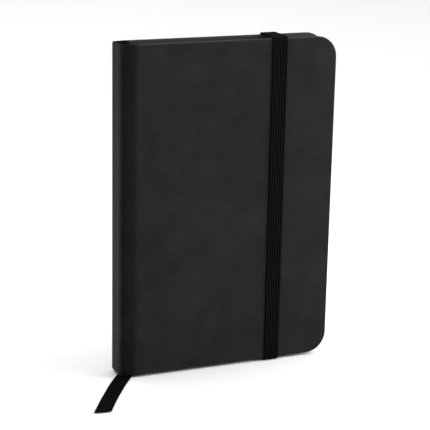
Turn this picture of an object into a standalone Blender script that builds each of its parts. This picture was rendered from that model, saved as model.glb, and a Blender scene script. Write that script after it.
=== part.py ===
"""Pocket notebook: hard covers in leatherette, sewn block, ribbon marker and elastic closure.

The book stands upright. X runs from the spine to the fore edge, Y from the front cover to the
back cover, and Z from tail to head. The origin is below the middle of the closed book, on the
surface that it stands on. All lengths are in metres.
"""
import math

import bmesh
import bpy

MM = 0.001

# driving dimensions of the closed book
HEIGHT = 140.0 * MM
WIDTH = 95.5 * MM
THICKNESS = 13.0 * MM
CORNER_RADIUS = 9.0 * MM
SPINE_RADIUS = 2.1 * MM
SPINE_WRAP = 2.2 * MM           # how far the spine's leatherette reaches on to each cover
SQUARE = 3.0 * MM               # how far the covers stand past the leaves
SPINE_CARD = 0.6 * MM

# closures and gaps
BAND_WIDTH = 6.8 * MM
BAND_THICK = 0.6 * MM
BAND_CENTRE = 69.1 * MM         # from the spine
SLIT_FROM_END = 13.0 * MM       # from the head or the tail to the band's slit
TUCK = 10.0 * MM                # how much of each end is held inside the cover
REST_GAP = 0.3 * MM
FINE_GAP = 0.1 * MM

# layers of one cover, from the outside in
SKIN = 0.35 * MM
BOARD = 1.4 * MM
PAPER = 0.15 * MM
COVER = SKIN + FINE_GAP + BOARD + FINE_GAP + PAPER

# hinge grooves beside the spine
HINGE_FROM_SPINE = 4.2 * MM
HINGE_OUTSIDE = 0.15 * MM
BOARD_FROM_SPINE = 6.3 * MM
GROOVE_PROFILE = (              # from the spine, and inward from the cover's face
    (2.3 * MM, 0.0),
    (2.9 * MM, 0.45 * MM),
    (3.5 * MM, 0.75 * MM),
    (4.9 * MM, 0.75 * MM),
    (5.4 * MM, 0.6 * MM),
)

# text block
SECTIONS = 8
TURNED_SECTIONS = 4
FOLD_FROM_SPINE = 2.1 * MM
RIBBON_WIDTH = 6.5 * MM
RIBBON_THICK = 0.3 * MM
RIBBON_FROM_SPINE = 2.2 * MM
RIBBON_GLUED = 27.0 * MM        # length of the end that is glued to the spine
GLUED_DEPTH = (1.15 * MM, 1.35 * MM)
MULL_DEPTH = (1.45 * MM, 1.6 * MM)
MULL_INSET = 10.0 * MM
THREAD_DEPTH = (1.7 * MM, 2.0 * MM)
THREAD_HALF = 0.6 * MM
THREAD_STATIONS = 4
RIBBON_END_CUT = 1.3 * MM       # the outer edge ends this far past the middle line

# places that follow from them
SPINE_X = -WIDTH / 2
FORE_X = WIDTH / 2
FRONT_Y = -THICKNESS / 2
BACK_Y = THICKNESS / 2
TAIL_Z = REST_GAP + BAND_THICK
HEAD_Z = TAIL_Z + HEIGHT
HINGE_X = SPINE_X + HINGE_FROM_SPINE
FRONT_HINGE_Y = FRONT_Y - HINGE_OUTSIDE
BACK_HINGE_Y = BACK_Y + HINGE_OUTSIDE
BAND_X = (SPINE_X + BAND_CENTRE - BAND_WIDTH / 2, SPINE_X + BAND_CENTRE + BAND_WIDTH / 2)
LEAF_Z = (TAIL_Z + SQUARE, HEAD_Z - SQUARE)
LEAF_FORE_X = FORE_X - SQUARE
LEAF_RADIUS = CORNER_RADIUS - SQUARE
FOLD_X = SPINE_X + FOLD_FROM_SPINE
STRIP_END_X = HINGE_X - FINE_GAP
TURN_START_X = HINGE_X + 2 * FINE_GAP
RIBBON_X = (SPINE_X + RIBBON_FROM_SPINE, SPINE_X + RIBBON_FROM_SPINE + RIBBON_WIDTH)
SLIT_FROM_MIDDLE = HEIGHT / 2 - SLIT_FROM_END

# loose end of the ribbon: its middle line on the surface below, from under the block outward
RIBBON_ROUTE = (
    (SPINE_X + 5.2 * MM, FRONT_Y + 6.5 * MM),
    (SPINE_X + 2.4 * MM, FRONT_Y + 2.6 * MM),
    (SPINE_X - 2.8 * MM, FRONT_Y - 5.1 * MM),
    (SPINE_X - 8.5 * MM, FRONT_Y - 14.2 * MM),
    (SPINE_X - 14.0 * MM, FRONT_Y - 23.7 * MM),
    (SPINE_X - 17.9 * MM, FRONT_Y - 30.9 * MM),
)

ARC_STEPS = 6


def clear_scene():
    for ob in list(bpy.data.objects):
        bpy.data.objects.remove(ob, do_unlink=True)


def new_collection(name):
    collection = bpy.data.collections.new(name)
    bpy.context.scene.collection.children.link(collection)
    return collection


def material(name, colour, roughness):
    mat = bpy.data.materials.new(name)
    mat.use_nodes = True
    shader = mat.node_tree.nodes["Principled BSDF"]
    shader.inputs["Base Color"].default_value = (*colour, 1.0)
    shader.inputs["Roughness"].default_value = roughness
    shader.inputs["Metallic"].default_value = 0.0
    return mat


def arc(cx, cy, radius, start_deg, end_deg, steps=ARC_STEPS):
    """Points along a circle, from one angle to another."""
    points = []
    for i in range(steps + 1):
        angle = math.radians(start_deg + (end_deg - start_deg) * i / steps)
        points.append((cx + radius * math.cos(angle), cy + radius * math.sin(angle)))
    return points


def leaf_outline(x0, x1, z0, z1, radius):
    """A sheet with square corners at the spine and round corners at the fore edge."""
    outline = [(x0, z0)]
    outline += arc(x1 - radius, z0 + radius, radius, -90, 0)
    outline += arc(x1 - radius, z1 - radius, radius, 0, 90)
    outline.append((x0, z1))
    return outline


def extruded(name, outline, depth):
    """A flat outline in local XY, made solid by half the depth each way along local Z."""
    curve = bpy.data.curves.new(name, "CURVE")
    curve.dimensions = "2D"
    curve.fill_mode = "BOTH"
    curve.extrude = depth / 2
    spline = curve.splines.new("POLY")
    spline.points.add(len(outline) - 1)
    for point, (x, y) in zip(spline.points, outline):
        point.co = (x, y, 0.0, 1.0)
    spline.use_cyclic_u = True
    ob = bpy.data.objects.new(name, curve)
    bpy.context.scene.collection.objects.link(ob)
    return ob


def as_mesh(ob):
    """The same shape as a welded mesh object, for the Boolean modifier."""
    bpy.context.view_layer.update()
    evaluated = ob.evaluated_get(bpy.context.evaluated_depsgraph_get())
    mesh = bpy.data.meshes.new_from_object(evaluated)
    welder = bmesh.new()
    welder.from_mesh(mesh)
    bmesh.ops.remove_doubles(welder, verts=welder.verts, dist=1e-6)
    bmesh.ops.recalc_face_normals(welder, faces=welder.faces)
    welder.to_mesh(mesh)
    welder.free()
    name = ob.name
    matrix = ob.matrix_world.copy()
    bpy.data.objects.remove(ob, do_unlink=True)
    solid = bpy.data.objects.new(name, mesh)
    solid.matrix_world = matrix
    bpy.context.scene.collection.objects.link(solid)
    return solid


def sheet(name, outline, y0, y1):
    """A plate that lies along the covers: its outline is in X and Z, its thickness in Y."""
    ob = extruded(name, outline, y1 - y0)
    ob.location = (0.0, (y0 + y1) / 2, 0.0)
    ob.rotation_euler = (math.radians(90), 0.0, 0.0)
    return as_mesh(ob)


def upright(name, outline, z0, z1):
    """A bar along the spine: its outline is in X and Y, its length in Z."""
    ob = extruded(name, outline, z1 - z0)
    ob.location = (0.0, 0.0, (z0 + z1) / 2)
    return as_mesh(ob)


def box(name, x, y, z):
    """A block from three ranges."""
    bpy.ops.mesh.primitive_cube_add(size=1.0)
    ob = bpy.context.object
    ob.name = name
    ob.data.name = name
    ob.scale = (x[1] - x[0], y[1] - y[0], z[1] - z[0])
    bpy.ops.object.transform_apply(location=False, rotation=False, scale=True)
    ob.location = ((x[0] + x[1]) / 2, (y[0] + y[1]) / 2, (z[0] + z[1]) / 2)
    return ob


def move_to(ob, collection):
    for owner in list(ob.users_collection):
        owner.objects.unlink(ob)
    collection.objects.link(ob)


def keep(ob, mat, pivot=None):
    """Give a finished piece its material, its collection and the pivot that it turns on."""
    ob.data.materials.clear()
    ob.data.materials.append(mat)
    move_to(ob, book)
    if pivot:
        ob.parent = pivot
        ob.location = ob.location - pivot.location
    return ob


def cut(target, cutter):
    cutter.hide_render = True
    cutter.display_type = "WIRE"
    move_to(cutter, cutters)
    modifier = target.modifiers.new(cutter.name, "BOOLEAN")
    modifier.operation = "DIFFERENCE"
    modifier.solver = "EXACT"
    modifier.object = cutter


def pivot_empty(name, location):
    empty = bpy.data.objects.new(name, None)
    empty.location = location
    book.objects.link(empty)
    return empty


def make_spine():
    """Leatherette round the spine and into both hinge grooves, with its card stiffener."""
    front_arc = arc(SPINE_X + SPINE_RADIUS, FRONT_Y + SPINE_RADIUS, SPINE_RADIUS, 270, 180)
    back_arc = arc(SPINE_X + SPINE_RADIUS, BACK_Y - SPINE_RADIUS, SPINE_RADIUS, 180, 90)
    inner_radius = SPINE_RADIUS - SKIN
    inner_back = arc(SPINE_X + SPINE_RADIUS, BACK_Y - SPINE_RADIUS, inner_radius, 90, 180)
    inner_front = arc(SPINE_X + SPINE_RADIUS, FRONT_Y + SPINE_RADIUS, inner_radius, 180, 270)
    end_x = SPINE_X + SPINE_WRAP
    outside = [(end_x, FRONT_Y), *front_arc, *back_arc, (end_x, BACK_Y)]
    inside = [(end_x, BACK_Y - SKIN), *inner_back, *inner_front, (end_x, FRONT_Y + SKIN)]
    keep(upright("spine_skin", outside + inside, TAIL_Z, HEAD_Z), leatherette)

    for name, face_y, inward in (("front_joint_skin", FRONT_Y, 1), ("back_joint_skin", BACK_Y, -1)):
        outer = [(SPINE_X + x, face_y + inward * y) for x, y in GROOVE_PROFILE]
        inner = [(x, y + inward * SKIN) for x, y in reversed(outer)]
        keep(upright(name, outer + inner, TAIL_Z, HEAD_Z), leatherette)

    card_x = (SPINE_X + SKIN + FINE_GAP, SPINE_X + SKIN + FINE_GAP + SPINE_CARD)
    card_y = (FRONT_Y + COVER + REST_GAP, BACK_Y - COVER - REST_GAP)
    card_z = (TAIL_Z + SKIN, HEAD_Z - SKIN)
    keep(box("spine_card", card_x, card_y, card_z), greyboard)


def make_spine_lining():
    """Gauze and sewing thread on the backs of the sections."""
    mull_x = [SPINE_X + depth for depth in MULL_DEPTH]
    mull_y = (FRONT_Y + COVER + REST_GAP, BACK_Y - COVER - REST_GAP)
    mull_z = (TAIL_Z + MULL_INSET, HEAD_Z - MULL_INSET)
    keep(box("mull_lining", mull_x, mull_y, mull_z), gauze)
    thread_x = [SPINE_X + depth for depth in THREAD_DEPTH]
    spacing = HEIGHT / (THREAD_STATIONS + 1)
    for i in range(THREAD_STATIONS):
        middle = TAIL_Z + spacing * (i + 1)
        thread_z = (middle - THREAD_HALF, middle + THREAD_HALF)
        keep(box(f"sewing_thread_{i + 1}", thread_x, mull_y, thread_z), thread)


def split_leaf(name, y0, y1, mat, pivot):
    """A leaf or section that turns: its fold stays in the spine and the rest swings."""
    fold = leaf_outline(FOLD_X, STRIP_END_X, *LEAF_Z, FINE_GAP)
    keep(sheet(f"{name}_fold", fold, y0, y1), mat)
    leaf = leaf_outline(TURN_START_X, LEAF_FORE_X, *LEAF_Z, LEAF_RADIUS)
    keep(sheet(name, leaf, y0, y1), mat, pivot)


def make_block(front_pivot, back_pivot):
    """Endpapers and sewn sections from front to back, with the ribbon in the middle."""
    inner_front = FRONT_Y + COVER
    inner_back = BACK_Y - COVER
    flyleaf = 1.5 * FINE_GAP
    ribbon_space = RIBBON_THICK + 2 * FINE_GAP
    ends = 2 * (flyleaf + PAPER + FINE_GAP)
    between = (SECTIONS - 2) * FINE_GAP + ribbon_space
    section = (inner_back - inner_front - ends - between) / SECTIONS

    y = inner_front + flyleaf
    split_leaf("front_flyleaf", y, y + PAPER, endpaper, front_pivot)
    y += PAPER + FINE_GAP
    for number in range(1, SECTIONS + 1):
        name = f"section_{number}"
        if number <= TURNED_SECTIONS:
            split_leaf(name, y, y + section, text_paper, front_pivot)
        else:
            whole = leaf_outline(FOLD_X, LEAF_FORE_X, *LEAF_Z, LEAF_RADIUS)
            keep(sheet(name, whole, y, y + section), text_paper)
        y += section
        if number == TURNED_SECTIONS:
            ribbon_y = (y + FINE_GAP, y + FINE_GAP + RIBBON_THICK)
            y += ribbon_space
        else:
            y += FINE_GAP
    split_leaf("back_flyleaf", y, y + PAPER, endpaper, back_pivot)
    return ribbon_y


def make_ribbon(ribbon_y):
    """The marker is glued to the spine, folds over the head, and lies between two sections."""
    head_gap = SQUARE - FINE_GAP
    ribbon_z = (RIBBON_THICK + REST_GAP, HEAD_Z - head_gap)
    keep(box("ribbon_marker", RIBBON_X, ribbon_y, ribbon_z), satin)
    half = RIBBON_WIDTH / 2
    glued_x = [SPINE_X + depth for depth in GLUED_DEPTH]
    glued_z = (HEAD_Z - SQUARE - RIBBON_GLUED, HEAD_Z - head_gap)
    middle_y = (ribbon_y[0] + ribbon_y[1]) / 2
    across_y = (middle_y - half, middle_y + half)
    keep(box("ribbon_glued_end", glued_x, (-half, half), glued_z), satin)
    over_z = (glued_z[1] + FINE_GAP, glued_z[1] + FINE_GAP + RIBBON_THICK)
    keep(box("ribbon_head_fold", (glued_x[0], RIBBON_X[1]), across_y, over_z), satin)

    inner_edge = []
    outer_edge = []
    for i, (x, y) in enumerate(RIBBON_ROUTE):
        before = RIBBON_ROUTE[max(i - 1, 0)]
        after = RIBBON_ROUTE[min(i + 1, len(RIBBON_ROUTE) - 1)]
        run = math.hypot(after[0] - before[0], after[1] - before[1])
        way = ((after[0] - before[0]) / run, (after[1] - before[1]) / run)
        cut_back = RIBBON_END_CUT if i == len(RIBBON_ROUTE) - 1 else 0.0
        inner_edge.append((x - half * way[1] - cut_back * way[0], y + half * way[0] - cut_back * way[1]))
        outer_edge.append((x + half * way[1] + cut_back * way[0], y - half * way[0] + cut_back * way[1]))
    tail = extruded("ribbon_tail", inner_edge + outer_edge[::-1], RIBBON_THICK)
    tail.location = (0.0, 0.0, RIBBON_THICK / 2)
    keep(as_mesh(tail), satin)


def make_cover(side, face_y, inward, pivot, slits):
    """Leatherette tray, greyboard inside it and the pasted endpaper on the inner face."""
    edge_x = SPINE_X + BOARD_FROM_SPINE

    def layer(depth0, depth1):
        return sorted((face_y + inward * depth0, face_y + inward * depth1))

    tray_depth = SKIN + FINE_GAP + BOARD
    outline = leaf_outline(edge_x, FORE_X, TAIL_Z, HEAD_Z, CORNER_RADIUS)
    tray = sheet(f"{side}_cover_skin", outline, *layer(0, tray_depth))
    hollow = leaf_outline(edge_x - MM, FORE_X - SKIN, TAIL_Z + SKIN, HEAD_Z - SKIN, CORNER_RADIUS - SKIN)
    cut(tray, sheet(f"{side}_skin_hollow", hollow, *layer(SKIN, tray_depth + MM)))

    inset = SKIN + FINE_GAP
    core = leaf_outline(
        edge_x, FORE_X - inset, TAIL_Z + inset, HEAD_Z - inset, CORNER_RADIUS - inset
    )
    board = sheet(f"{side}_board", core, *layer(inset, inset + BOARD))
    for number, (slit, recess) in enumerate(slits, 1):
        cut(tray, box(f"skin_slit_{number}", *slit))
        cut(board, box(f"board_slit_{number}", *slit))
        cut(board, box(f"board_recess_{number}", *recess))
    keep(tray, leatherette, pivot)
    keep(board, greyboard, pivot)

    inner = leaf_outline(edge_x, LEAF_FORE_X, *LEAF_Z, LEAF_RADIUS)
    keep(sheet(f"{side}_pastedown", inner, *layer(COVER - PAPER, COVER)), endpaper, pivot)


def make_band(band_pivot, back_pivot):
    """Front run and two returns that pull off the fore edge, and two ends held in slits."""
    outer_front = FRONT_Y - REST_GAP - BAND_THICK
    outer_back = BACK_Y + REST_GAP + BAND_THICK
    run_z = (TAIL_Z - 2 * FINE_GAP, HEAD_Z + 2 * FINE_GAP)
    front_y = (outer_front, outer_front + BAND_THICK)
    keep(box("elastic_front_run", BAND_X, front_y, run_z), elastic, band_pivot)
    head_z = (HEAD_Z + REST_GAP, HEAD_Z + REST_GAP + BAND_THICK)
    tail_z = (TAIL_Z - REST_GAP - BAND_THICK, TAIL_Z - REST_GAP)
    across_y = (outer_front, outer_back)
    keep(box("elastic_head_return", BAND_X, across_y, head_z), elastic, band_pivot)
    keep(box("elastic_tail_return", BAND_X, across_y, tail_z), elastic, band_pivot)

    outside = BACK_Y + REST_GAP
    inside = BACK_Y - SKIN - FINE_GAP - BOARD + FINE_GAP
    middle_z = (TAIL_Z + HEAD_Z) / 2
    for name, way, edge_z in (("upper", 1, run_z[1]), ("lower", -1, run_z[0])):
        slit_z = middle_z + way * SLIT_FROM_MIDDLE
        profile = (
            (outer_back, edge_z),
            (outer_back, slit_z - way * BAND_THICK),
            (inside + BAND_THICK, slit_z - way * BAND_THICK),
            (inside + BAND_THICK, slit_z - way * TUCK),
            (inside, slit_z - way * TUCK),
            (inside, slit_z),
            (outside, slit_z),
            (outside, edge_z),
        )
        end = extruded(f"elastic_{name}_end", profile, BAND_WIDTH)
        end.rotation_euler = (math.radians(90), 0.0, math.radians(90))
        end.location = ((BAND_X[0] + BAND_X[1]) / 2, 0.0, 0.0)
        keep(as_mesh(end), elastic, back_pivot)


def slit_boxes():
    """The two slits through the back cover and the shallow recess beside each, inside it."""
    x = (BAND_X[0] - REST_GAP, BAND_X[1] + REST_GAP)
    inner_face = BACK_Y - SKIN - FINE_GAP - BOARD
    through = (inner_face - MM, BACK_Y + MM)
    recess_y = (inner_face - MM, inner_face + BAND_THICK + 2 * FINE_GAP)
    middle_z = (TAIL_Z + HEAD_Z) / 2
    boxes = []
    for way in (1, -1):
        slit_z = middle_z + way * SLIT_FROM_MIDDLE
        near = slit_z + way * 2 * FINE_GAP
        slit_end = slit_z - way * (BAND_THICK + 2 * FINE_GAP)
        tuck_end = slit_z - way * (TUCK + REST_GAP)
        boxes.append(((x, through, sorted((near, slit_end))), (x, recess_y, sorted((near, tuck_end)))))
    return boxes


clear_scene()
book = new_collection("pocket_notebook")
cutters = new_collection("cutters")

leatherette = material("leatherette", (0.022, 0.022, 0.023), 0.55)
greyboard = material("greyboard", (0.35, 0.33, 0.30), 0.9)
endpaper = material("endpaper", (0.86, 0.82, 0.72), 0.85)
text_paper = material("text_paper", (0.88, 0.84, 0.74), 0.85)
satin = material("satin", (0.008, 0.008, 0.009), 0.5)
elastic = material("elastic", (0.012, 0.012, 0.013), 0.85)
gauze = material("gauze", (0.75, 0.73, 0.68), 0.95)
thread = material("thread", (0.85, 0.84, 0.8), 0.9)

front_axis = pivot_empty("front_cover_axis", (HINGE_X, FRONT_HINGE_Y, 0.0))
back_axis = pivot_empty("back_cover_axis", (HINGE_X, BACK_HINGE_Y, 0.0))
band_slide = pivot_empty("band_slide_origin", (SPINE_X + BAND_CENTRE, 0.0, 0.0))

make_spine()
make_spine_lining()
make_ribbon(make_block(front_axis, back_axis))
make_cover("front", FRONT_Y, 1, front_axis, [])
make_cover("back", BACK_Y, -1, back_axis, slit_boxes())
make_band(band_slide, back_axis)
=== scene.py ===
# %% [markdown]
# # A pocket notebook, upright on a table
# The object is a hard-cover notebook: boards wrapped in black leatherette, sewn paper sections
# inside, a ribbon marker whose end lies on the table, and an elastic band that holds it shut.
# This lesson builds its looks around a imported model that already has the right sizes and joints.
# We start by loading that model, because every place below is read from it.

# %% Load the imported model
import math
import random

import bpy
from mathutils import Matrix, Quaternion, Vector


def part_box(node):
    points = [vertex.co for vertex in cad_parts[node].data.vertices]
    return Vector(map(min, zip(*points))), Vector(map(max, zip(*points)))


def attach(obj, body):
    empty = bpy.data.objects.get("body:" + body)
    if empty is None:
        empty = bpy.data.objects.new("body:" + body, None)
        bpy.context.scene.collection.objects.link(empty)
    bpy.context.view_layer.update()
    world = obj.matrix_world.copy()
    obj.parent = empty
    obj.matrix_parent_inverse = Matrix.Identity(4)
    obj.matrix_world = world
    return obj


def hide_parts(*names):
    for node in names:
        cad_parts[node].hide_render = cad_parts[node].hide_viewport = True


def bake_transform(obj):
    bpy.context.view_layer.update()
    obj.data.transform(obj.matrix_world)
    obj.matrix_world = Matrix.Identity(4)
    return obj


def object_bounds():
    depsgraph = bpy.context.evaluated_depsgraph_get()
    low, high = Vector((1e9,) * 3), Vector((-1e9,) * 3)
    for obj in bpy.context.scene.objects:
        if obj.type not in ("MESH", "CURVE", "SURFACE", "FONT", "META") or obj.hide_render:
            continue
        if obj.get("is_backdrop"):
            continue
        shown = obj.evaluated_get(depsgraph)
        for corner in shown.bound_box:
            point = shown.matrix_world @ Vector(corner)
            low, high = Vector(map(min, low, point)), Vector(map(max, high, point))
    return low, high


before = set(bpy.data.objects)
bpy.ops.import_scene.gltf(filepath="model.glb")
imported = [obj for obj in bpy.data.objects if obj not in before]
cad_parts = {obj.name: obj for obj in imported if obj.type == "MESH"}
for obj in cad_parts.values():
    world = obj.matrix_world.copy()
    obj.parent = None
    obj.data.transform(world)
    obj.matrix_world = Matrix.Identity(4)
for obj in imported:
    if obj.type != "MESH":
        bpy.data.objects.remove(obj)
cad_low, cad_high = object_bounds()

MM = 0.001
spine_low, spine_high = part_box("spine_skin")
SPINE_X = spine_low.x
FORE_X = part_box("front_cover_skin")[1].x
FRONT_Y = spine_low.y
BACK_Y = spine_high.y
TAIL_Z = spine_low.z
HEAD_Z = spine_high.z
BOARD_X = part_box("front_board")[0].x
book_size = (FORE_X - SPINE_X, BACK_Y - FRONT_Y, HEAD_Z - TAIL_Z)
print("closed book, mm:", [round(v / MM, 1) for v in book_size])

# %% [markdown]
# ## The camera
# A small book is looked at from well back with a long lens, so that its edges stay nearly
# parallel. We aim at a point near the middle of the book and step back along the view direction.
# A small roll is left in, as when a camera is held by hand.

# %% Place the camera
AIM = Vector((-3.75 * MM, -0.57 * MM, 66.2 * MM))
AZIMUTH = math.radians(-22.79)
ELEVATION = math.radians(15.64)
ROLL = math.radians(1.14)
DISTANCE = 623.0 * MM
LENS_MM = 123.8

back = Vector((
    math.sin(AZIMUTH) * math.cos(ELEVATION),
    -math.cos(AZIMUTH) * math.cos(ELEVATION),
    math.sin(ELEVATION),
))
camera = bpy.data.objects.new("camera", bpy.data.cameras.new("camera"))
bpy.context.scene.collection.objects.link(camera)
camera.location = AIM + back * DISTANCE
camera.rotation_mode = "QUATERNION"
camera.rotation_quaternion = Quaternion(back, ROLL) @ back.to_track_quat("Z", "Y")
camera.data.lens = LENS_MM
camera.data.sensor_width = 36.0
camera.data.clip_start = 0.01
camera.data.clip_end = 20.0
bpy.context.scene.camera = camera
print("camera at, mm:", [round(v / MM) for v in camera.location])

# %% [markdown]
# ## Helpers for meshes
# Every piece here is a surface that is swept or wrapped, so its points follow from a formula.
# One helper turns points and faces into an object. It also stores where each point is in the
# closed book or, on a woven strip, where it is on the strip when that lies flat. Patterns such as
# weave and ruled lines read that store, so they stay in place when a cover or a page bends.

# %% Make an object from points and faces
def mesh_piece(name, points, faces, lay=None, smooth_angle=40):
    mesh = bpy.data.meshes.new(name)
    mesh.from_pydata([tuple(p) for p in points], [], faces)
    mesh.validate()
    stored = mesh.attributes.new("lay", "FLOAT_VECTOR", "POINT")
    places = points if lay is None else lay
    stored.data.foreach_set("vector", [float(v) for place in places for v in place])
    mesh.shade_smooth()
    mesh.set_sharp_from_angle(angle=math.radians(smooth_angle))
    piece = bpy.data.objects.new(name, mesh)
    bpy.context.scene.collection.objects.link(piece)
    return piece


def smooth_line(points, step):
    """Catmull-Rom curve through the points, sampled about every step."""
    points = [Vector(p) for p in points]
    ends = [points[0] * 2 - points[1], *points, points[-1] * 2 - points[-2]]
    line = []
    for a, b, c, d in zip(ends, ends[1:], ends[2:], ends[3:]):
        count = max(2, math.ceil((c - b).length / step))
        for i in range(count):
            t = i / count
            line.append(0.5 * (
                2 * b + (c - a) * t + (2 * a - 5 * b + 4 * c - d) * t ** 2
                + (3 * b - a - 3 * c + d) * t ** 3
            ))
    return [*line, points[-1]]


def ease(t):
    t = min(max(t, 0.0), 1.0)
    return t * t * (3 - 2 * t)


def run_lengths(line):
    total = [0.0]
    for a, b in zip(line, line[1:]):
        total.append(total[-1] + (b - a).length)
    return total

# %% [markdown]
# ## A woven strip
# The ribbon and the band are both narrow woven strips. A strip is swept: at each step along its
# middle line it has a direction across and a direction outward. Its cross-section is a list of
# points (share of the half width, share of the thickness), so a flat ribbon and a ribbed elastic
# differ only in that list.

# %% Sweep a cross-section along a line
FLAT_STEPS = 8                  # points across each face of a flat ribbon
SELVAGE = 0.2                   # share of the thickness that only the woven edge reaches
SELVAGE_POWER = 12              # how narrow that edge is


def strip(name, centres, across, outward, width, thick, section):
    lengths = run_lengths(centres)
    points = []
    lay = []
    for centre, side, up, along in zip(centres, across, outward, lengths):
        for u, h in section:
            points.append(centre + side * (u * width / 2) + up * (h * thick))
            lay.append((u * width / 2, along, h * thick))
    n = len(section)
    faces = []
    for i in range(len(centres) - 1):
        for j in range(n):
            k = (j + 1) % n
            faces.append((i * n + j, i * n + k, (i + 1) * n + k, (i + 1) * n + j))
    faces.append(tuple(range(n))[::-1])
    faces.append(tuple((len(centres) - 1) * n + j for j in range(n)))
    return mesh_piece(name, points, faces, lay)


def flat_section():
    """A ribbon: flat, with a slightly thicker woven edge on each side."""
    upper = []
    for i in range(FLAT_STEPS + 1):
        u = -1 + 2 * i / FLAT_STEPS
        upper.append((u, 1 - SELVAGE + SELVAGE * abs(u) ** SELVAGE_POWER))
    return upper + [(u, 0.0) for u, _ in reversed(upper)]


print("points round the ribbon:", len(flat_section()))

# %% [markdown]
# ## The ribbon marker
# A ribbon marker is a 6.5 mm polyester satin ribbon. Its top is glued to the backs of the
# sections, it folds over the head of the block, hangs between two sections and comes out at the
# tail. Its loose end lies flat on the table. Its middle line is a given list of points, the same
# as the model's.

# %% Lay the loose end of the ribbon
RIBBON_WIDTH = 6.5 * MM
RIBBON_THICK = 0.25 * MM
RIBBON_ROUTE = (
    (SPINE_X + 5.2 * MM, FRONT_Y + 6.5 * MM),
    (SPINE_X + 2.4 * MM, FRONT_Y + 2.6 * MM),
    (SPINE_X - 2.8 * MM, FRONT_Y - 5.1 * MM),
    (SPINE_X - 8.5 * MM, FRONT_Y - 14.2 * MM),
    (SPINE_X - 14.0 * MM, FRONT_Y - 23.7 * MM),
    (SPINE_X - 17.9 * MM, FRONT_Y - 30.9 * MM),
)
RIBBON_STEP = 1.0 * MM
RIBBON_REST = 0.05 * MM         # the underside's height over the table
WAVE_HEIGHT = 0.35 * MM
WAVE_LENGTH = 5.0 * MM          # length of ribbon for one radian of the wave
END_LIFT = 0.5 * MM
LIFT_FROM = 0.8                 # share of the length at which the cut end starts to lift
END_CUT = 2.6 * MM              # how much longer one edge is than the other at the slanted cut
CUT_REACH = 9.0 * MM            # length of ribbon over which the slant is spread


def ribbon_tail():
    line = smooth_line([(x, y, 0.0) for x, y in RIBBON_ROUTE], RIBBON_STEP)
    lengths = run_lengths(line)
    total = lengths[-1]
    for point, along in zip(line, lengths):
        wave = WAVE_HEIGHT * math.sin(math.pi * along / total) ** 2
        lift = END_LIFT * ease((along / total - LIFT_FROM) / (1 - LIFT_FROM))
        point.z = RIBBON_REST + wave * (0.5 + 0.5 * math.sin(along / WAVE_LENGTH)) + lift
    across = []
    for i, point in enumerate(line):
        ahead = line[min(i + 1, len(line) - 1)] - line[max(i - 1, 0)]
        ahead.z = 0
        across.append(Vector((-ahead.y, ahead.x, 0)).normalized())
    outward = [Vector((0, 0, 1))] * len(line)
    section = flat_section()
    tail = strip("ribbon_loose_end", line, across, outward, RIBBON_WIDTH, RIBBON_THICK, section)
    way = (line[-1] - line[-2]).normalized()
    for vertex in tail.data.vertices:
        row = vertex.index // len(section)
        share = ease((lengths[row] - total + CUT_REACH) / CUT_REACH)
        side = (vertex.co - line[row]).dot(across[row]) / (RIBBON_WIDTH / 2)
        vertex.co += way * (-side * share * END_CUT / 2)
    return tail, line


ribbon_end, ribbon_line = ribbon_tail()
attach(ribbon_end, "text_block")
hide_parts("ribbon_tail")

# %% [markdown]
# ## The ribbon inside the book
# The hidden run goes from the glue on the spine, over the head in a loose twist, down between
# two sections and out at the tail, where it bends forward onto the table. Each stop below is a
# place and the direction across the ribbon there, which turns smoothly from stop to stop. The last
# bend is tight, so points that it would push through the table are laid on it.

# %% Thread the ribbon through the book
SQUARE = 3.0 * MM               # how far the boards stand past the block at head and tail
HIDDEN_STEP = 1.2 * MM
marker_low, marker_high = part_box("ribbon_marker")
glued_low, glued_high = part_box("ribbon_glued_end")


def hidden_stops():
    """Places along the hidden run, each with the direction across the ribbon there."""
    x = (marker_low.x + marker_high.x) / 2
    y = (marker_low.y + marker_high.y) / 2
    glue_x = (glued_low.x + glued_high.x) / 2
    start = ribbon_line[0]
    top = HEAD_Z - SQUARE
    return (
        ((glue_x, 0.0, glued_low.z), (0, 1, 0)),
        ((glue_x, 0.0, top - 6 * MM), (0, 1, 0)),
        ((glue_x + 0.2 * MM, 0.0, top + 0.4 * MM), (0.1, 1, 0)),
        ((glue_x + 1.8 * MM, 0.2 * MM, top + 1.5 * MM), (0.5, 0.9, 0)),
        ((x - 0.6 * MM, y * 0.5, top + 1.2 * MM), (0.95, 0.3, 0)),
        ((x, y, top - 1.5 * MM), (1, 0, 0)),
        ((x, y, top - 12 * MM), (1, 0, 0)),
        ((x, y, TAIL_Z + 10 * MM), (1, 0, 0)),
        ((x, y, TAIL_Z + 2.8 * MM), (1, 0, 0)),
        ((x - 0.05 * MM, y - 0.3 * MM, TAIL_Z + 0.9 * MM), (0.97, -0.2, 0)),
        ((start.x + 0.1 * MM, start.y + 0.1 * MM, 0.5 * MM), (0.85, -0.5, 0)),
    )


def ribbon_inside():
    stops = hidden_stops()
    places = smooth_line([p for p, _ in stops], HIDDEN_STEP)
    marks = run_lengths([Vector(p) for p, _ in stops])
    lengths = run_lengths(places)
    scale = marks[-1] / lengths[-1]
    across = []
    outward = []
    for i in range(len(places)):
        at = lengths[i] * scale
        leg = max(k for k in range(len(marks)) if marks[k] <= at + 1e-9)
        leg = min(leg, len(marks) - 2)
        t = ease((at - marks[leg]) / (marks[leg + 1] - marks[leg]))
        side = Vector(stops[leg][1]).lerp(Vector(stops[leg + 1][1]), t)
        ahead = (places[min(i + 1, len(places) - 1)] - places[max(i - 1, 0)]).normalized()
        side = (side - ahead * side.dot(ahead)).normalized()
        across.append(side)
        outward.append(ahead.cross(side))
    section = flat_section()
    return strip("ribbon_inside", places, across, outward, RIBBON_WIDTH, RIBBON_THICK, section)


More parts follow.
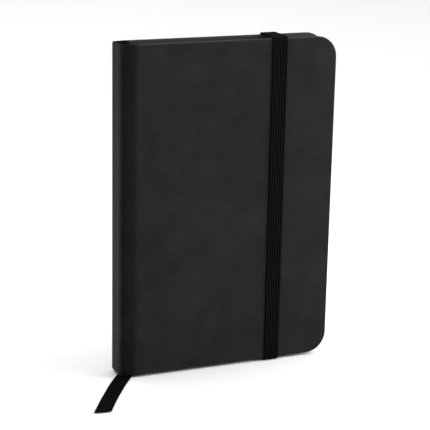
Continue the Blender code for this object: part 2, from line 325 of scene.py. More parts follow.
marker = ribbon_inside()
for vertex in marker.data.vertices:
    vertex.co.z = max(vertex.co.z, RIBBON_REST)
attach(marker, "text_block")
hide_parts("ribbon_marker", "ribbon_glued_end", "ribbon_head_fold")
print("hidden ribbon points:", len(marker.data.vertices))

# %% [markdown]
# ## Leatherette round the boards
# The cover is one sheet of leatherette, glued over two boards and a card spine. Its edges are
# turned in over the boards. A book's case could be made from boxes with bevels, but then the
# groove beside the spine and the turned edge would be separate shapes. Here the sheet is made as
# it is made in a bindery: a flat outline is wrapped round a profile, and its rim is folded over.
# First comes the profile: the middle of the spine, a round corner, the groove and the board.

# %% The profile of the wrap
SPINE_RADIUS = 2.6 * MM
SPINE_STEPS = 8                 # faces round the corner of the spine
GROOVE_DEPTH = 0.7 * MM
GROOVE_START = 0.1 * MM
GROOVE_LOW = 1.9 * MM
GROOVE_END = 7.2 * MM
GROOVE_STEP = 0.3 * MM
SPINE_MIDWAY = 0.66             # an extra point on the flat of the spine, as a share of half of it
FLAT_MARGIN = 0.2 * MM          # flat that is kept beside the corner of the spine
BOARD_MARGIN = 0.4 * MM         # and beyond the groove
BOARD_STEPS = 16                # faces across the flat board
COVER_DEPTH = 1.95 * MM         # outer face to the turned-in edge, over the board
SPINE_DEPTH = 1.05 * MM         # the same at the spine
JOINT_DEPTH = 0.75 * MM         # and in the soft joint between spine and board
PINCH_FROM = 1.2 * MM           # where the spine's depth starts to become the joint's
BOARD_SLOPE = 0.9 * MM          # width over which the joint's depth becomes the board's
CORNER = 9.0 * MM
EDGE = 0.95 * MM                # radius of the folded edge
TURN_IN = 5.0 * MM
SHEET = 0.2 * MM                # thickness of the leatherette itself


def groove(x):
    """Depth of the groove at a distance from the spine."""
    if x < GROOVE_LOW:
        return GROOVE_DEPTH * ease((x - GROOVE_START) / (GROOVE_LOW - GROOVE_START))
    return GROOVE_DEPTH * (1 - ease((x - GROOVE_LOW) / (GROOVE_END - GROOVE_LOW)))


def wrap_profile():
    """Points of the profile, as distances from the spine and from the front face."""
    half = (BACK_Y - FRONT_Y) / 2
    line = [(0.0, half), (0.0, half * SPINE_MIDWAY), (0.0, SPINE_RADIUS + FLAT_MARGIN)]
    for i in range(SPINE_STEPS + 1):
        angle = math.radians(90 * i / SPINE_STEPS)
        line.append((SPINE_RADIUS * (1 - math.cos(angle)), SPINE_RADIUS * (1 - math.sin(angle))))
    line = [(x, y + groove(x)) for x, y in line]
    x = SPINE_RADIUS
    while x < GROOVE_END:
        x += GROOVE_STEP
        line.append((x, groove(x)))
    x += BOARD_MARGIN
    last = FORE_X - SPINE_X - CORNER
    for i in range(1, BOARD_STEPS + 1):
        line.append((x + (last - x) * i / BOARD_STEPS, 0.0))
    return line


def wrap_depth(x):
    """How far behind the outer face the turned-in edge lies."""
    board = ease((x - (BOARD_X - SPINE_X - BOARD_SLOPE)) / BOARD_SLOPE)
    pinch = ease((x - PINCH_FROM) / PINCH_FROM)
    soft = SPINE_DEPTH + (JOINT_DEPTH - SPINE_DEPTH) * pinch
    return soft * (1 - board) + COVER_DEPTH * board


print("profile points:", len(wrap_profile()))

# %% [markdown]
# The outline of the sheet has a column of points for each profile point, and the last columns
# follow the round corners of the fore edge. A rim runs along the tail, up the fore edge and back
# along the head. A leaf of paper has the same outline, so the rim is a function of its own. Near
# the head and the tail the groove is shallower, because the end of the book is pressed flat there.

# %% The outline of the sheet
ROWS = 28
ARC_COLUMNS = 10
PINCH_SHARE = 0.55              # share of the groove that is lost at head and tail
PINCH_LENGTH = 7.0 * MM         # and the length over which it is lost


def rim_places(ways, rows):
    """Column, row and way outward of each place on the rim of an outline."""
    rim = [(i, 0, way) for i, way in enumerate(ways)]
    rim += [(len(ways) - 1, j, Vector((1, 0))) for j in range(1, rows)]
    rim += [(i, rows, Vector((way.x, -way.y))) for i, way in reversed(list(enumerate(ways)))]
    return rim


def wrap_columns():
    """For each column: distance from the spine and the front, normal, rim inset, way outward."""
    profile = wrap_profile()
    columns = []
    for i, (x, y) in enumerate(profile):
        a = profile[max(i - 1, 0)]
        b = profile[min(i + 1, len(profile) - 1)]
        tangent = Vector((b[0] - a[0], b[1] - a[1])).normalized()
        columns.append((x, y, Vector((-tangent.y, tangent.x)), EDGE, Vector((0, -1))))
    last = profile[-1][0]
    for i in range(1, ARC_COLUMNS + 1):
        angle = math.radians(90 * i / ARC_COLUMNS)
        x = last + (CORNER - EDGE) * math.sin(angle)
        inset = EDGE + (CORNER - EDGE) * (1 - math.cos(angle))
        columns.append((x, 0.0, Vector((0, 1)), inset, Vector((math.sin(angle), -math.cos(angle)))))
    return columns


def row_height(column, row):
    low = TAIL_Z + column[3]
    high = HEAD_Z - column[3]
    return low + (high - low) * row / ROWS


def wrap_place(column, side, z, out_x=0.0, depth=0.0):
    x, y, normal, _, _ = column
    end = min(z - TAIL_Z, HEAD_Z - z)
    pinch = groove(x) * PINCH_SHARE * (1 - ease(end / PINCH_LENGTH)) if x > GROOVE_START else 0.0
    px = SPINE_X + x + out_x + normal.x * depth
    py = FRONT_Y + y + pinch + normal.y * depth
    return Vector((px, py * side, z))


print("columns across one cover:", len(wrap_columns()))

# %% [markdown]
# From the rim, rings of points go outward over the fold, in again behind it, and along the
# turned-in strip. This gives a bare surface, and a Solidify modifier then gives it the sheet's
# thickness. The modifier is applied here, so that the cut edges can be marked sharp afterwards:
# smooth shading across them would draw a false stripe down the middle of the spine.

# %% Wrap one half of the case
FOLD_STEPS = 5
FOLD_SHARE = 0.48               # largest share of the depth that one fold takes up
INNER_FOLD = 0.8                # radius of the inner fold as a share of the outer one's
CUT_ANGLE = 60
FOLD_RINGS = [("outer", k / FOLD_STEPS) for k in range(1, FOLD_STEPS + 1)]
FOLD_RINGS += [("inner", k / FOLD_STEPS) for k in range(FOLD_STEPS + 1)]
FOLD_RINGS += [("turned", 0.5), ("turned", 1.0)]


def fold_ring(kind, t, deep):
    """How far out of the rim a ring lies, and how far behind the outer face."""
    radius = min(EDGE, deep * FOLD_SHARE)
    inner = radius * INNER_FOLD
    angle = t * math.pi / 2
    if kind == "outer":
        return EDGE * math.sin(angle), radius * (1 - math.cos(angle))
    if kind == "inner":
        return EDGE - inner * (1 - math.cos(angle)), deep - inner * (1 - math.sin(angle))
    return EDGE - inner - TURN_IN * t, deep


def give_thickness(wrap):
    shell = wrap.modifiers.new("sheet", "SOLIDIFY")
    shell.thickness = SHEET
    shell.offset = -1
    graph = bpy.context.evaluated_depsgraph_get()
    solid = bpy.data.meshes.new_from_object(wrap.evaluated_get(graph))
    wrap.modifiers.clear()
    wrap.data = solid
    solid.set_sharp_from_angle(angle=math.radians(CUT_ANGLE))


def wrap_half(name, side):
    """Half of the case, from the middle of the spine to one fore edge. side is 1 at the front."""
    columns = wrap_columns()
    stride = ROWS + 1
    points = [wrap_place(column, side, row_height(column, j)) for column in columns for j in range(stride)]
    faces = []
    for i in range(len(columns) - 1):
        for j in range(ROWS):
            a = i * stride + j
            faces.append((a, a + stride, a + stride + 1, a + 1))
    rim = rim_places([column[4] for column in columns], ROWS)
    previous = [i * stride + j for i, j, _ in rim]
    for kind, t in FOLD_RINGS:
        current = []
        for i, j, way in rim:
            column = columns[i]
            out, depth = fold_ring(kind, t, wrap_depth(column[0]))
            current.append(len(points))
            z = row_height(column, j) + way.y * out
            points.append(wrap_place(column, side, z, way.x * out, depth))
        for k in range(len(rim) - 1):
            faces.append((previous[k + 1], previous[k], current[k], current[k + 1]))
        previous = current
    if side < 0:
        faces = [face[::-1] for face in faces]
    wrap = mesh_piece(name, points, faces)
    give_thickness(wrap)
    return wrap


front_wrap = wrap_half("front_leatherette", 1)
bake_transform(front_wrap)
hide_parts("front_cover_skin", "front_joint_skin", "spine_skin")
back_wrap = wrap_half("back_leatherette", -1)
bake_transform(back_wrap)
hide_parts("back_cover_skin", "back_joint_skin")
print("wrap points:", len(front_wrap.data.vertices))

# %% [markdown]
# ## Paper
# A sewn section is about twelve folded leaves. Modelling each leaf would cost a hundred pieces
# that the eye can't part, so a section is one slab whose edges step in and out by a tenth of a
# millimetre, as trimmed leaves do. Endpapers are the same slab, one sheet thick. All of them get
# extra columns near the fold, where a leaf bends round it when the book opens.

# %% A slab of paper with round outer corners
LEAF_CORNER = 6.0 * MM
LEAF_ROWS = 12
FLAT_COLUMNS = 8
CORNER_COLUMNS = 8
# Distances from the fold at which a leaf has a column of points, closest where it bends.
BEND_MM = (0, 0.4, 0.9, 1.5, 2.1, 2.7, 3.3, 3.9, 4.5, 5.2, 6.0, 6.9, 8, 9.5, 12, 16)


def slab_columns(x0, x1):
    """For each column: x, how much the round corner takes off each end, and the way outward."""
    arc_x = x1 - LEAF_CORNER
    straight = [x for x in (x0 + t * MM for t in BEND_MM) if x < arc_x]
    last = straight[-1]
    straight += [last + (arc_x - last) * i / FLAT_COLUMNS for i in range(1, FLAT_COLUMNS + 1)]
    columns = [(x, 0.0, Vector((0, -1))) for x in straight]
    for i in range(1, CORNER_COLUMNS + 1):
        angle = math.radians(90 * i / CORNER_COLUMNS)
        x = straight[-1] + LEAF_CORNER * math.sin(angle)
        rise = LEAF_CORNER * (1 - math.cos(angle))
        columns.append((x, rise, Vector((math.sin(angle), -math.cos(angle)))))
    return columns


def paper_slab(name, x0, x1, z0, z1, y_levels, insets, fold_inset=0.0):
    """Rings of rim points at each y level, with a full grid on the first and the last."""
    rows = LEAF_ROWS
    columns = slab_columns(x0, x1)
    count = len(columns)
    loop = rim_places([way for _, _, way in columns], rows)
    loop += [(0, j, Vector((0, 0))) for j in range(rows - 1, 0, -1)]

    def place(i, j, way, y, inset, fold):
        x, rise, _ = columns[i]
        low = z0 + rise
        high = z1 - rise
        x_in = fold if i == 0 else 0.0
        return (x - way.x * inset + x_in, y, low + (high - low) * j / rows - way.y * inset)

    points = []
    faces = []
    ring_of = []
    for level, (y, inset) in enumerate(zip(y_levels, insets)):
        outer = level in (0, len(y_levels) - 1)
        fold = fold_inset if outer else 0.0
        ring = {}
        for i, j, way in loop:
            ring[(i, j)] = len(points)
            points.append(place(i, j, way, y, inset, fold))
        if outer:
            for i in range(1, count - 1):
                for j in range(1, rows):
                    ring[(i, j)] = len(points)
                    points.append(place(i, j, Vector((0, 0)), y, 0.0, fold))
            for i in range(count - 1):
                for j in range(rows):
                    face = (ring[(i, j)], ring[(i + 1, j)], ring[(i + 1, j + 1)], ring[(i, j + 1)])
                    faces.append(face if level == 0 else face[::-1])
        ring_of.append([ring[(i, j)] for i, j, _ in loop])
    for a, b in zip(ring_of, ring_of[1:]):
        for k in range(len(loop)):
            m = (k + 1) % len(loop)
            faces.append((a[m], a[k], b[k], b[m]))
    return mesh_piece(name, points, faces, smooth_angle=50)


# %% Lay the sections
SECTIONS = 8
TURNED = 4                      # sections that turn with the front cover
LEVELS = 9                      # rim rings through the thickness of a section
SECTION_FOLD_X = SPINE_X + 2.1 * MM
FOLD_ROUND = 0.25 * MM          # how much the outer leaves of a section step in at the fold
LEAF_INSET = 0.04 * MM          # smallest step in of a leaf's edge
LEAF_SPREAD_MM = 0.12           # and how much more it may be
dice = random.Random(7)


def section_piece(number):
    node = f"section_{number}"
    low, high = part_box(node)
    y_levels = [low.y + (high.y - low.y) * i / (LEVELS - 1) for i in range(LEVELS)]
    insets = [LEAF_INSET + dice.uniform(0.0, LEAF_SPREAD_MM) * MM for _ in range(LEVELS)]
    return paper_slab(
        f"paper_{node}", SECTION_FOLD_X, high.x, low.z, high.z, y_levels, insets, FOLD_ROUND,
    )


papers = []
for number in range(1, SECTIONS + 1):
    section = section_piece(number)
    if number <= TURNED:
        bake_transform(section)
        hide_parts(f"section_{number}", f"section_{number}_fold")
    else:
        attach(section, "text_block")
        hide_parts(f"section_{number}")
    papers.append(section)
print("sections:", len(papers))

# %% [markdown]
# ## Endpapers
# The endpaper joins the case to the block: one half is pasted on the board and the other is the
# free flyleaf. The pasted half crosses the hinge, so it bends between the block and the cover.

# %% Paste the endpapers
NO_STEP = (0.0, 0.0)            # one sheet has plain edges
fold_x = SPINE_X + 2.3 * MM
endpapers = []
for side_name in ("front", "back"):
    low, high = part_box(f"{side_name}_pastedown")
    levels = (low.y, high.y)
    pasted = paper_slab(f"{side_name}_pasted_paper", fold_x, high.x, low.z, high.z, levels, NO_STEP)
    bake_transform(pasted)
    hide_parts(f"{side_name}_pastedown")
    low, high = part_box(f"{side_name}_flyleaf")
    levels = (low.y, high.y)
    fly = paper_slab(f"{side_name}_fly_paper", fold_x, high.x, low.z, high.z, levels, NO_STEP)
    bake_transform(fly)
    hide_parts(f"{side_name}_flyleaf", f"{side_name}_flyleaf_fold")
    endpapers += [pasted, fly]
print("endpapers:", [piece.name for piece in endpapers])

# %% [markdown]
# ## The elastic band
# The closure is a 6.8 mm flat elastic: rubber threads side by side, covered in black yarn, which
# shows as ribs along its length. Its two ends go through slits in the back cover and are glued
# inside. It is swept along its route round the closed book. The ribs are in the cross-section,
# so they also show as a scalloped line where the band goes over an edge.

# %% The ribbed section and the route of the elastic
band_low, band_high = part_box("elastic_front_run")
BAND_WIDTH = band_high.x - band_low.x
BAND_X = (band_low.x + band_high.x) / 2
BAND_THICK = 0.82 * MM
BAND_REST = 0.05 * MM           # gap between the elastic and what it lies on
BAND_BEND = 0.9 * MM            # inner radius over the edges of the covers
SLIT_BEND = 0.3 * MM            # and where it goes into a slit
SLIT_REACH = 1.6 * MM           # how far into the back cover it is drawn
SLIT_MOUTH = 0.6 * MM
SLIT_EDGE = 0.1 * MM            # from the slit's edge to the middle of the elastic inside it
SLIT_ROUND = 0.2 * MM           # from the slit's edge to where the elastic starts to turn in
GLUED_LENGTH = 10.0 * MM        # length of each end that is glued inside
TURN_STEPS = 6                  # steps over the edge of a cover
SLIT_STEPS = 4
SHORT_STEPS = 8                 # steps along a short run
FRONT_STEPS = 60                # and down the front
RIBS = 6
RIB_STEPS = 6                   # faces across one rib
RIB_VALLEY = 0.5                # thickness between two ribs, as a share of the whole
RIB_POWER = 0.6                 # below 1 makes the ribs full and the valleys narrow


def ribbed_section():
    outer = []
    steps = RIBS * RIB_STEPS
    for i in range(steps + 1):
        u = -1 + 2 * i / steps
        crest = abs(math.sin(math.pi * RIBS * (u + 1) / 2)) ** RIB_POWER
        outer.append((u, RIB_VALLEY + (1 - RIB_VALLEY) * crest))
    return outer + [(1.0, 0.15), (0.96, 0.0), (-0.96, 0.0), (-1.0, 0.15)]


def band_route():
    """Points and outward normals, from the upper slit over the head and the front to the lower."""
    slit_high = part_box("elastic_upper_end")[0].z + GLUED_LENGTH
    slit_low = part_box("elastic_lower_end")[1].z - GLUED_LENGTH
    back_y = BACK_Y + BAND_REST
    front_y = FRONT_Y - BAND_REST
    head = HEAD_Z + BAND_REST
    tail = TAIL_Z - BAND_REST
    route = []

    def point(y, z, out):
        route.append((Vector((BAND_X, y, z)), Vector(out)))

    def turn(cy, cz, radius, start, end, steps, first=0):
        for i in range(first, steps + 1):
            angle = math.radians(start + (end - start) * i / steps)
            out = Vector((0, math.cos(angle), math.sin(angle)))
            point(cy + out.y * radius, cz + out.z * radius, out)

    def straight(y0, z0, y1, z1, out, count):
        for i in range(1, count):
            t = i / count
            point(y0 + (y1 - y0) * t, z0 + (z1 - z0) * t, out)

    upper = slit_high + SLIT_ROUND
    lower = slit_low - SLIT_ROUND
    head_turn = head - BAND_BEND
    tail_turn = tail + BAND_BEND
    front_turn = front_y + BAND_BEND
    back_turn = back_y - BAND_BEND
    point(BACK_Y - SLIT_REACH, slit_high - SLIT_EDGE, (0, 0, -1))
    point(BACK_Y - SLIT_MOUTH, slit_high - SLIT_EDGE, (0, 0, -1))
    turn(back_y - SLIT_BEND, upper, SLIT_BEND, -90, 0, SLIT_STEPS, first=1)
    straight(back_y, upper, back_y, head_turn, (0, 1, 0), SHORT_STEPS)
    turn(back_turn, head_turn, BAND_BEND, 0, 90, TURN_STEPS)
    straight(back_turn, head, front_turn, head, (0, 0, 1), SHORT_STEPS)
    turn(front_turn, head_turn, BAND_BEND, 90, 180, TURN_STEPS)
    straight(front_y, head_turn, front_y, tail_turn, (0, -1, 0), FRONT_STEPS)
    turn(front_turn, tail_turn, BAND_BEND, 180, 270, TURN_STEPS)
    straight(front_turn, tail, back_turn, tail, (0, 0, -1), SHORT_STEPS)
    turn(back_turn, tail_turn, BAND_BEND, 270, 360, TURN_STEPS)
    straight(back_y, tail_turn, back_y, lower, (0, 1, 0), SHORT_STEPS)
    turn(back_y - SLIT_BEND, lower, SLIT_BEND, 0, 90, SLIT_STEPS)
    point(BACK_Y - SLIT_REACH, slit_low + SLIT_EDGE, (0, 0, 1))
    return route


print("points across the elastic:", len(ribbed_section()))

# %% Sweep the elastic round the book
route = band_route()
band = strip(
    "elastic_closure", [p for p, _ in route], [Vector((1, 0, 0))] * len(route), [n for _, n in route],
    BAND_WIDTH, BAND_THICK, ribbed_section(),
)
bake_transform(band)
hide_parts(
    "elastic_front_run", "elastic_head_return", "elastic_tail_return",
    "elastic_upper_end", "elastic_lower_end",
)
print("elastic, mm:", round(run_lengths([p for p, _ in route])[-1] / MM))

# %% [markdown]
# ## Tools for materials
# Colours are written as sRGB hex, as a paint chart gives them, and one function turns them to
# the linear values that Blender mixes. One more function adds a node with its settings and
# links. Patterns read the stored place of each point, in millimetres.

# %% Colour and node helpers
def linear(hex_code):
    channels = [int(hex_code[i:i + 2], 16) / 255 for i in (0, 2, 4)]
    return tuple(c / 12.92 if c <= 0.04045 else ((c + 0.055) / 1.055) ** 2.4 for c in channels) + (1.0,)


def add(tree, kind, inputs=None, **settings):
    node = tree.nodes.new(kind)
    for name, value in settings.items():
        setattr(node, name, value)
    for key, value in (inputs or {}).items():
        if isinstance(value, bpy.types.NodeSocket):
            tree.links.new(value, node.inputs[key])
        else:
            node.inputs[key].default_value = value
    return node


def new_material(name, source="lay"):
    """A material, its shader, its node tree and each point's place in millimetres."""
    mat = bpy.data.materials.new(name)
    mat.use_nodes = True
    tree = mat.node_tree
    shader = tree.nodes["Principled BSDF"]
    if source == "lay":
        place = add(tree, "ShaderNodeAttribute", attribute_name="lay").outputs["Vector"]
    else:
        place = add(tree, "ShaderNodeTexCoord").outputs["Object"]
    to_mm = add(tree, "ShaderNodeVectorMath", {0: place, "Scale": 1 / MM}, operation="SCALE")
    return mat, tree, shader, to_mm.outputs["Vector"]


def wave_scale(pitch_mm):
    """The Wave node's bands repeat every 2 pi / 20 units when its scale is 1."""
    return 2 * math.pi / (20 * pitch_mm)


print("white as linear values:", linear("ffffff"))

# %% [markdown]
# ## Black leatherette
# The covers are polyurethane leatherette: a soft film, embossed with a very fine grain and
# printed matte black. It looks dark grey because the grain scatters light. The grain is about
# 0.45 mm, which is below what shows from here, so it is mixed with a mottle of about a centimetre,
# as the film takes from the board and the glue below it. Such a film has an IOR near 1.5. Its
# specular level is set far below the usual 0.5, because a deep matte grain shows hardly any gloss.
#
# Two more things change its tone, both painted light. Painted shade darkens the joint beside the
# spine, where the shoulder of the spine shades the groove, and a painted highlight makes the fold
# round the edge of a board paler. Both follow from the stored place: the distance from the spine,
# and the depth behind the face.

# %% Painted shade in the joint and a painted highlight on the fold
GROOVE_SHADE_MM = 10.0               # from the spine to where the painted shade in the joint ends
GROOVE_SHADE_TONES = ((0.14, 0.4), (0.45, 0.55))     # share of that width, and the tone of the painted shade there
GROOVE_SHADE_FROM = 0.02
GROOVE_SHADE_TO = 0.85
EDGE_HIGHLIGHT_FROM = 0.75              # share of that width after which an edge counts as a board's
EDGE_HIGHLIGHT_DEPTHS_MM = (0.05, 0.6)  # depth behind the face where the painted highlight on the fold begins and is full


def painted_groove_shade(tree, from_spine):
    """The share of the shaded width, and the painted shade that darkens the sheet in the joint."""
    share = add(tree, "ShaderNodeMapRange", {
        "Value": from_spine, "From Min": SPINE_X / MM, "From Max": SPINE_X / MM + GROOVE_SHADE_MM,
    })
    groove_shade = add(tree, "ShaderNodeValToRGB", {"Fac": share.outputs["Result"]})
    groove_shade.color_ramp.interpolation = "EASE"
    ramp = groove_shade.color_ramp.elements
    ramp[0].position = GROOVE_SHADE_FROM
    ramp[0].color = (1.0, 1.0, 1.0, 1.0)
    ramp[1].position = GROOVE_SHADE_TO
    ramp[1].color = (1.0, 1.0, 1.0, 1.0)
    # Painted shade: darker towards the corner of the spine and the groove, where the spine's shoulder
    # shades them.
    for position, tone in GROOVE_SHADE_TONES:
        stop = ramp.new(position)
        stop.color = (tone, tone, tone, 1.0)
    return share.outputs["Result"], groove_shade.outputs["Color"]


def painted_edge_highlight(tree, share, y):
    """Where the painted highlight goes: 1 on the boards' folded edges and behind them, 0 on the faces and
    along the spine.
    """
    deep = add(tree, "ShaderNodeMath", {0: y}, operation="ABSOLUTE")
    begins, full = [BACK_Y / MM - depth for depth in EDGE_HIGHLIGHT_DEPTHS_MM]
    fold = add(tree, "ShaderNodeMapRange", {
        "Value": deep.outputs["Value"], "From Min": begins, "From Max": full,
    })
    board = add(tree, "ShaderNodeMath", {0: share, 1: EDGE_HIGHLIGHT_FROM}, operation="GREATER_THAN")
    edge_highlight = add(tree, "ShaderNodeMath", {
        0: fold.outputs["Result"], 1: board.outputs["Value"],
    }, operation="MULTIPLY")
    return edge_highlight.outputs["Value"]


# %% Leatherette
MOTTLE_MM = 11.0
GRAIN_MM = 0.45
RUFFLE_MM = 2.0                 # soft unevenness of the film over the board


def embossed_grain(tree, place):
    grain = add(tree, "ShaderNodeTexVoronoi", {"Vector": place, "Scale": 1 / GRAIN_MM, "Randomness": 1.0})
    fine = add(tree, "ShaderNodeBump", {
        "Height": grain.outputs["Distance"], "Strength": 0.12, "Distance": 0.04 * MM,
    })
    soft = add(tree, "ShaderNodeTexNoise", {"Vector": place, "Scale": 1 / RUFFLE_MM, "Detail": 3.0})
    both = add(tree, "ShaderNodeBump", {
        "Height": soft.outputs["Fac"], "Strength": 0.25, "Distance": 0.06 * MM,
        "Normal": fine.outputs["Normal"],
    })
    return both.outputs["Normal"]


def make_leatherette():
    mat, tree, shader, place = new_material("embossed_pu_leatherette")
    mottle = add(tree, "ShaderNodeTexNoise", {
        "Vector": place, "Scale": 1 / MOTTLE_MM, "Detail": 6.0, "Roughness": 0.6,
    })
    colour = add(tree, "ShaderNodeValToRGB", {"Fac": mottle.outputs["Fac"]})
    dark, light = colour.color_ramp.elements
    dark.position = 0.35
    dark.color = linear("1f1f20")
    light.position = 0.7
    light.color = linear("262628")
    parts = add(tree, "ShaderNodeSeparateXYZ", {"Vector": place})
    share, groove_shade = painted_groove_shade(tree, parts.outputs["X"])
    # Painted shade in the joint, multiplied into the sheet's colour.
    darker = add(tree, "ShaderNodeMix", {
        "Factor": 1.0, "A": colour.outputs["Color"], "B": groove_shade,
    }, data_type="RGBA", blend_type="MULTIPLY")
    # Painted highlight: the folded edges of the boards are drawn paler, where they catch light.
    highlighted_edges = add(tree, "ShaderNodeMix", {
        "Factor": painted_edge_highlight(tree, share, parts.outputs["Y"]),
        "A": darker.outputs["Result"], "B": linear("37373a"),
    }, data_type="RGBA")
    tree.links.new(highlighted_edges.outputs["Result"], shader.inputs["Base Color"])
    gloss = add(tree, "ShaderNodeMapRange", {"Value": mottle.outputs["Fac"], "To Min": 0.5, "To Max": 0.6})
    tree.links.new(gloss.outputs["Result"], shader.inputs["Roughness"])
    tree.links.new(embossed_grain(tree, place), shader.inputs["Normal"])
    shader.inputs["IOR"].default_value = 1.5
    shader.inputs["Specular IOR Level"].default_value = 0.03
    return mat


leatherette = make_leatherette()
for piece in (front_wrap, back_wrap):
    piece.data.materials.append(leatherette)
print("leatherette nodes:", len(leatherette.node_tree.nodes))

# %% [markdown]
# ## Ribbon satin and elastic
# Both are black polyester. The ribbon's satin weave floats long threads over its surface, which
# gives it a faint sheen and fine lines across. The elastic is wrapped yarn and scatters light, so
# it is the deepest black, with fine lines of yarn across each rib. A painted highlight lightens the
# crests of the ribs, and painted shade keeps the valleys darkest. The real threads are thinner than
# the lines here, which are as coarse as they need to be to show.

# %% Ribbon and elastic
WEFT_MM = 0.4935
YARN_MM = 0.5712
CREST_MM = (0.45, 0.8)          # height over the book where the painted highlight on a rib begins, and where it is full


def make_satin():
    mat, tree, shader, place = new_material("woven_polyester_satin")
    shader.inputs["Base Color"].default_value = linear("0b0b0c")
    shader.inputs["Roughness"].default_value = 0.5
    shader.inputs["Specular IOR Level"].default_value = 0.002
    shader.inputs["Sheen Weight"].default_value = 0.003
    shader.inputs["Sheen Roughness"].default_value = 0.4
    weft = add(tree, "ShaderNodeTexWave", {
        "Vector": place, "Scale": wave_scale(WEFT_MM), "Distortion": 1.2, "Detail": 1.0,
    }, wave_type="BANDS", bands_direction="Y")
    bump = add(tree, "ShaderNodeBump", {
        "Height": weft.outputs["Fac"], "Strength": 0.5, "Distance": 0.05 * MM,
    })
    tree.links.new(bump.outputs["Normal"], shader.inputs["Normal"])
    return mat


def make_elastic():
    mat, tree, shader, place = new_material("covered_elastic_webbing")
    yarn = add(tree, "ShaderNodeTexWave", {
        "Vector": place, "Scale": wave_scale(YARN_MM), "Distortion": 2.0, "Detail": 2.0,
    }, wave_type="BANDS", bands_direction="Y")
    parts = add(tree, "ShaderNodeSeparateXYZ", {"Vector": place})
    crest = add(tree, "ShaderNodeMapRange", {
        "Value": parts.outputs["Z"], "From Min": CREST_MM[0], "From Max": CREST_MM[1],
    })
    # Painted highlight on the crests along the yarn lines; the valleys keep a black deepened by painted
    # shade.
    lit = add(tree, "ShaderNodeMath", {
        0: crest.outputs["Result"], 1: yarn.outputs["Fac"],
    }, operation="MULTIPLY")
    colour = add(tree, "ShaderNodeMix", {
        "Factor": lit.outputs["Value"], "A": linear("020202"), "B": linear("1a1a1d"),
    }, data_type="RGBA")
    tree.links.new(colour.outputs["Result"], shader.inputs["Base Color"])
    shader.inputs["Roughness"].default_value = 0.85
    shader.inputs["Specular IOR Level"].default_value = 0.03
    bump = add(tree, "ShaderNodeBump", {
        "Height": yarn.outputs["Fac"], "Strength": 0.4, "Distance": 0.05 * MM,
    })
    tree.links.new(bump.outputs["Normal"], shader.inputs["Normal"])
    return mat


satin = make_satin()
elastic = make_elastic()
for piece in (ribbon_end, marker):
    piece.data.materials.append(satin)
band.data.materials.append(elastic)
print("woven finishes:", satin.name, elastic.name)

# %% [markdown]
# ## Papers
# The text paper is ivory wood-free paper with pale ruled lines 6 mm apart, which end below the
# head margin. On the cut edges of a section, thin streaks stand for its leaves. The endpapers are
# the same paper without lines. Paper is a matte mat of fibres, so its tone varies a little at the
# size of a few fibres.

# %% Papers
FIBRE_MM = 0.8
RULE_PITCH_MM = 6.0
RULE_HALF_MM = 0.12
TOP_RULE_MM = 126.0             # no lines above this height
LEAF_STREAKS = 9.0              # streaks per millimetre through a section


def leaf_streaks(tree, colour, y):
    edges = add(tree, "ShaderNodeTexNoise", {
        "W": y, "Scale": LEAF_STREAKS, "Detail": 2.0,
    }, noise_dimensions="1D")
    leaves = add(tree, "ShaderNodeMapRange", {
        "Value": edges.outputs["Fac"], "From Min": 0.3, "From Max": 0.7, "To Min": 0.88, "To Max": 1.0,
    })
    shaded = add(tree, "ShaderNodeVectorMath", {
        0: colour, "Scale": leaves.outputs["Result"],
    }, operation="SCALE")
    return shaded.outputs["Vector"]


def ruled_lines(tree, colour, z):
    """Ping-pong gives the distance from the nearest line, when its value is half the pitch."""
    away = add(tree, "ShaderNodeMath", {0: z, 1: RULE_PITCH_MM / 2}, operation="PINGPONG")
    line = add(tree, "ShaderNodeMath", {0: away.outputs["Value"], 1: RULE_HALF_MM}, operation="LESS_THAN")
    below = add(tree, "ShaderNodeMath", {0: z, 1: TOP_RULE_MM}, operation="LESS_THAN")
    drawn = add(tree, "ShaderNodeMath", {
        0: line.outputs["Value"], 1: below.outputs["Value"],
    }, operation="MULTIPLY")
    inked = add(tree, "ShaderNodeMix", {
        "Factor": drawn.outputs["Value"], "A": colour, "B": linear("b9bdc0"),
    }, data_type="RGBA")
    return inked.outputs["Result"]


def make_paper(name, ruled):
    mat, tree, shader, place = new_material(name)
    fibre = add(tree, "ShaderNodeTexNoise", {
        "Vector": place, "Scale": 1 / FIBRE_MM, "Detail": 5.0, "Roughness": 0.7,
    })
    base = add(tree, "ShaderNodeMix", {
        "Factor": fibre.outputs["Fac"], "A": linear("d9d1ba"), "B": linear("e4ddc9"),
    }, data_type="RGBA")
    colour = base.outputs["Result"]
    if ruled:
        parts = add(tree, "ShaderNodeSeparateXYZ", {"Vector": place})
        colour = leaf_streaks(tree, colour, parts.outputs["Y"])
        colour = ruled_lines(tree, colour, parts.outputs["Z"])
    tree.links.new(colour, shader.inputs["Base Color"])
    shader.inputs["Roughness"].default_value = 0.85
    shader.inputs["Specular IOR Level"].default_value = 0.3
    bump = add(tree, "ShaderNodeBump", {
        "Height": fibre.outputs["Fac"], "Strength": 0.15, "Distance": 0.03 * MM,
    })
    tree.links.new(bump.outputs["Normal"], shader.inputs["Normal"])
    return mat


ruled_paper = make_paper("ruled_ivory_paper", True)
plain_paper = make_paper("plain_ivory_endpaper", False)
for piece in papers:
    piece.data.materials.append(ruled_paper)
for piece in endpapers:
    piece.data.materials.append(plain_paper)
print("papers:", ruled_paper.name, plain_paper.name)

# %% [markdown]
# ## Board, gauze and thread
# The greyboard, the gauze on the folds and the sewing thread are only seen when the book is open.
# All three are bare fibres: pulp, cotton and waxed linen. They differ in colour, in the size of
# the fibre and in gloss, so one function makes all three, and the model's own shapes are kept.

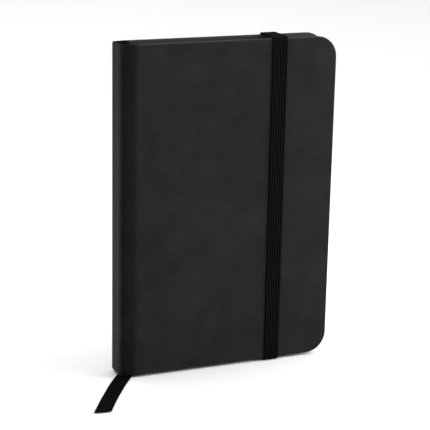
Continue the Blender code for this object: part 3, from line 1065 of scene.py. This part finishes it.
# %% Board, gauze and thread
def make_fibre(name, dark, light, grain_mm, roughness):
    """Pulp board, gauze or thread: a mottled colour at the size of its fibres."""
    mat, tree, shader, place = new_material(name, "object")
    fibre = add(tree, "ShaderNodeTexNoise", {
        "Vector": place, "Scale": 1 / grain_mm, "Detail": 4.0, "Roughness": 0.65,
    })
    colour = add(tree, "ShaderNodeMix", {
        "Factor": fibre.outputs["Fac"], "A": linear(dark), "B": linear(light),
    }, data_type="RGBA")
    tree.links.new(colour.outputs["Result"], shader.inputs["Base Color"])
    shader.inputs["Roughness"].default_value = roughness
    bump = add(tree, "ShaderNodeBump", {
        "Height": fibre.outputs["Fac"], "Strength": 0.4, "Distance": 0.1 * MM,
    })
    tree.links.new(bump.outputs["Normal"], shader.inputs["Normal"])
    return mat


def dress(mat, *names):
    for name in names:
        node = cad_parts[name]
        node.data.materials.clear()
        node.data.materials.append(mat)


greyboard = make_fibre("pressed_greyboard", "8c867b", "a8a296", 0.6, 0.9)
gauze = make_fibre("cotton_mull", "c9c4b6", "e2ddcf", 0.5, 0.95)
thread = make_fibre("waxed_linen_thread", "d8d2c2", "efe9da", 0.3, 0.7)
threads = [f"sewing_thread_{i}" for i in range(1, 5)]
dress(greyboard, "front_board", "back_board", "spine_card")
dress(gauze, "mull_lining")
dress(thread, *threads)
print("threads:", len(threads))

# %% [markdown]
# ## Studio
# A black object on white is drawn by the light that reaches its faces, so each light has one job.
# The pale room gives a little light from all sides. A small softbox close on the right makes the
# cover lighter towards its fore edge. A softbox on the left stands behind the plane of the cover,
# so it lights the spine and hardly touches the cover. A broad one overhead whitens the card and
# lights the folded edges at the head.

# %% Floor and lights
FLOOR_HALF = 3.0                # metres
LIGHTS_AIM = Vector((0, 0, 0.07))       # in metres, halfway up the book


def floor():
    corners = ((-1, -1), (1, -1), (1, 1), (-1, 1))
    points = [(x * FLOOR_HALF, y * FLOOR_HALF, 0) for x, y in corners]
    ground = mesh_piece("floor", points, [(0, 1, 2, 3)])
    mat, _, shader, _ = new_material("matte_white_card")
    shader.inputs["Base Color"].default_value = linear("f2f2f2")
    shader.inputs["Roughness"].default_value = 1.0
    shader.inputs["Specular IOR Level"].default_value = 0.0
    ground.data.materials.append(mat)
    ground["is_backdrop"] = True


def softbox(name, position, size, watts):
    """A rectangular light that faces the middle of the book."""
    light = bpy.data.lights.new(name, "AREA")
    light.shape = "RECTANGLE"
    light.size = size[0]
    light.size_y = size[1]
    light.energy = watts
    lamp = bpy.data.objects.new(name, light)
    bpy.context.scene.collection.objects.link(lamp)
    lamp.location = position
    lamp.rotation_mode = "QUATERNION"
    lamp.rotation_quaternion = (Vector(position) - LIGHTS_AIM).to_track_quat("Z", "Y")


def pale_room():
    world = bpy.data.worlds.new("pale_room")
    bpy.context.scene.world = world
    world.use_nodes = True
    background = world.node_tree.nodes["Background"]
    background.inputs["Color"].default_value = linear("ffffff")
    background.inputs["Strength"].default_value = 0.42


floor()
pale_room()
softbox("right_softbox", (0.34, -0.15, 0.24), (0.35, 0.35), 2.2)
softbox("left_softbox", (-1.1, 0.35, 0.4), (0.8, 0.8), 4.0)
softbox("overhead_softbox", (0.0, 0.5, 2.0), (3.0, 3.0), 46.0)
bpy.context.scene.view_settings.view_transform = "Standard"

# %% [markdown]
# ## Check the size and finish
# The looks have to stay inside the model's box, so both boxes are measured and compared.

# %% Write the sizes
low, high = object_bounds()
outside = max(max(cad_low - low), max(high - cad_high))
print("largest step outside the model's box, mm:", round(outside / MM, 2))
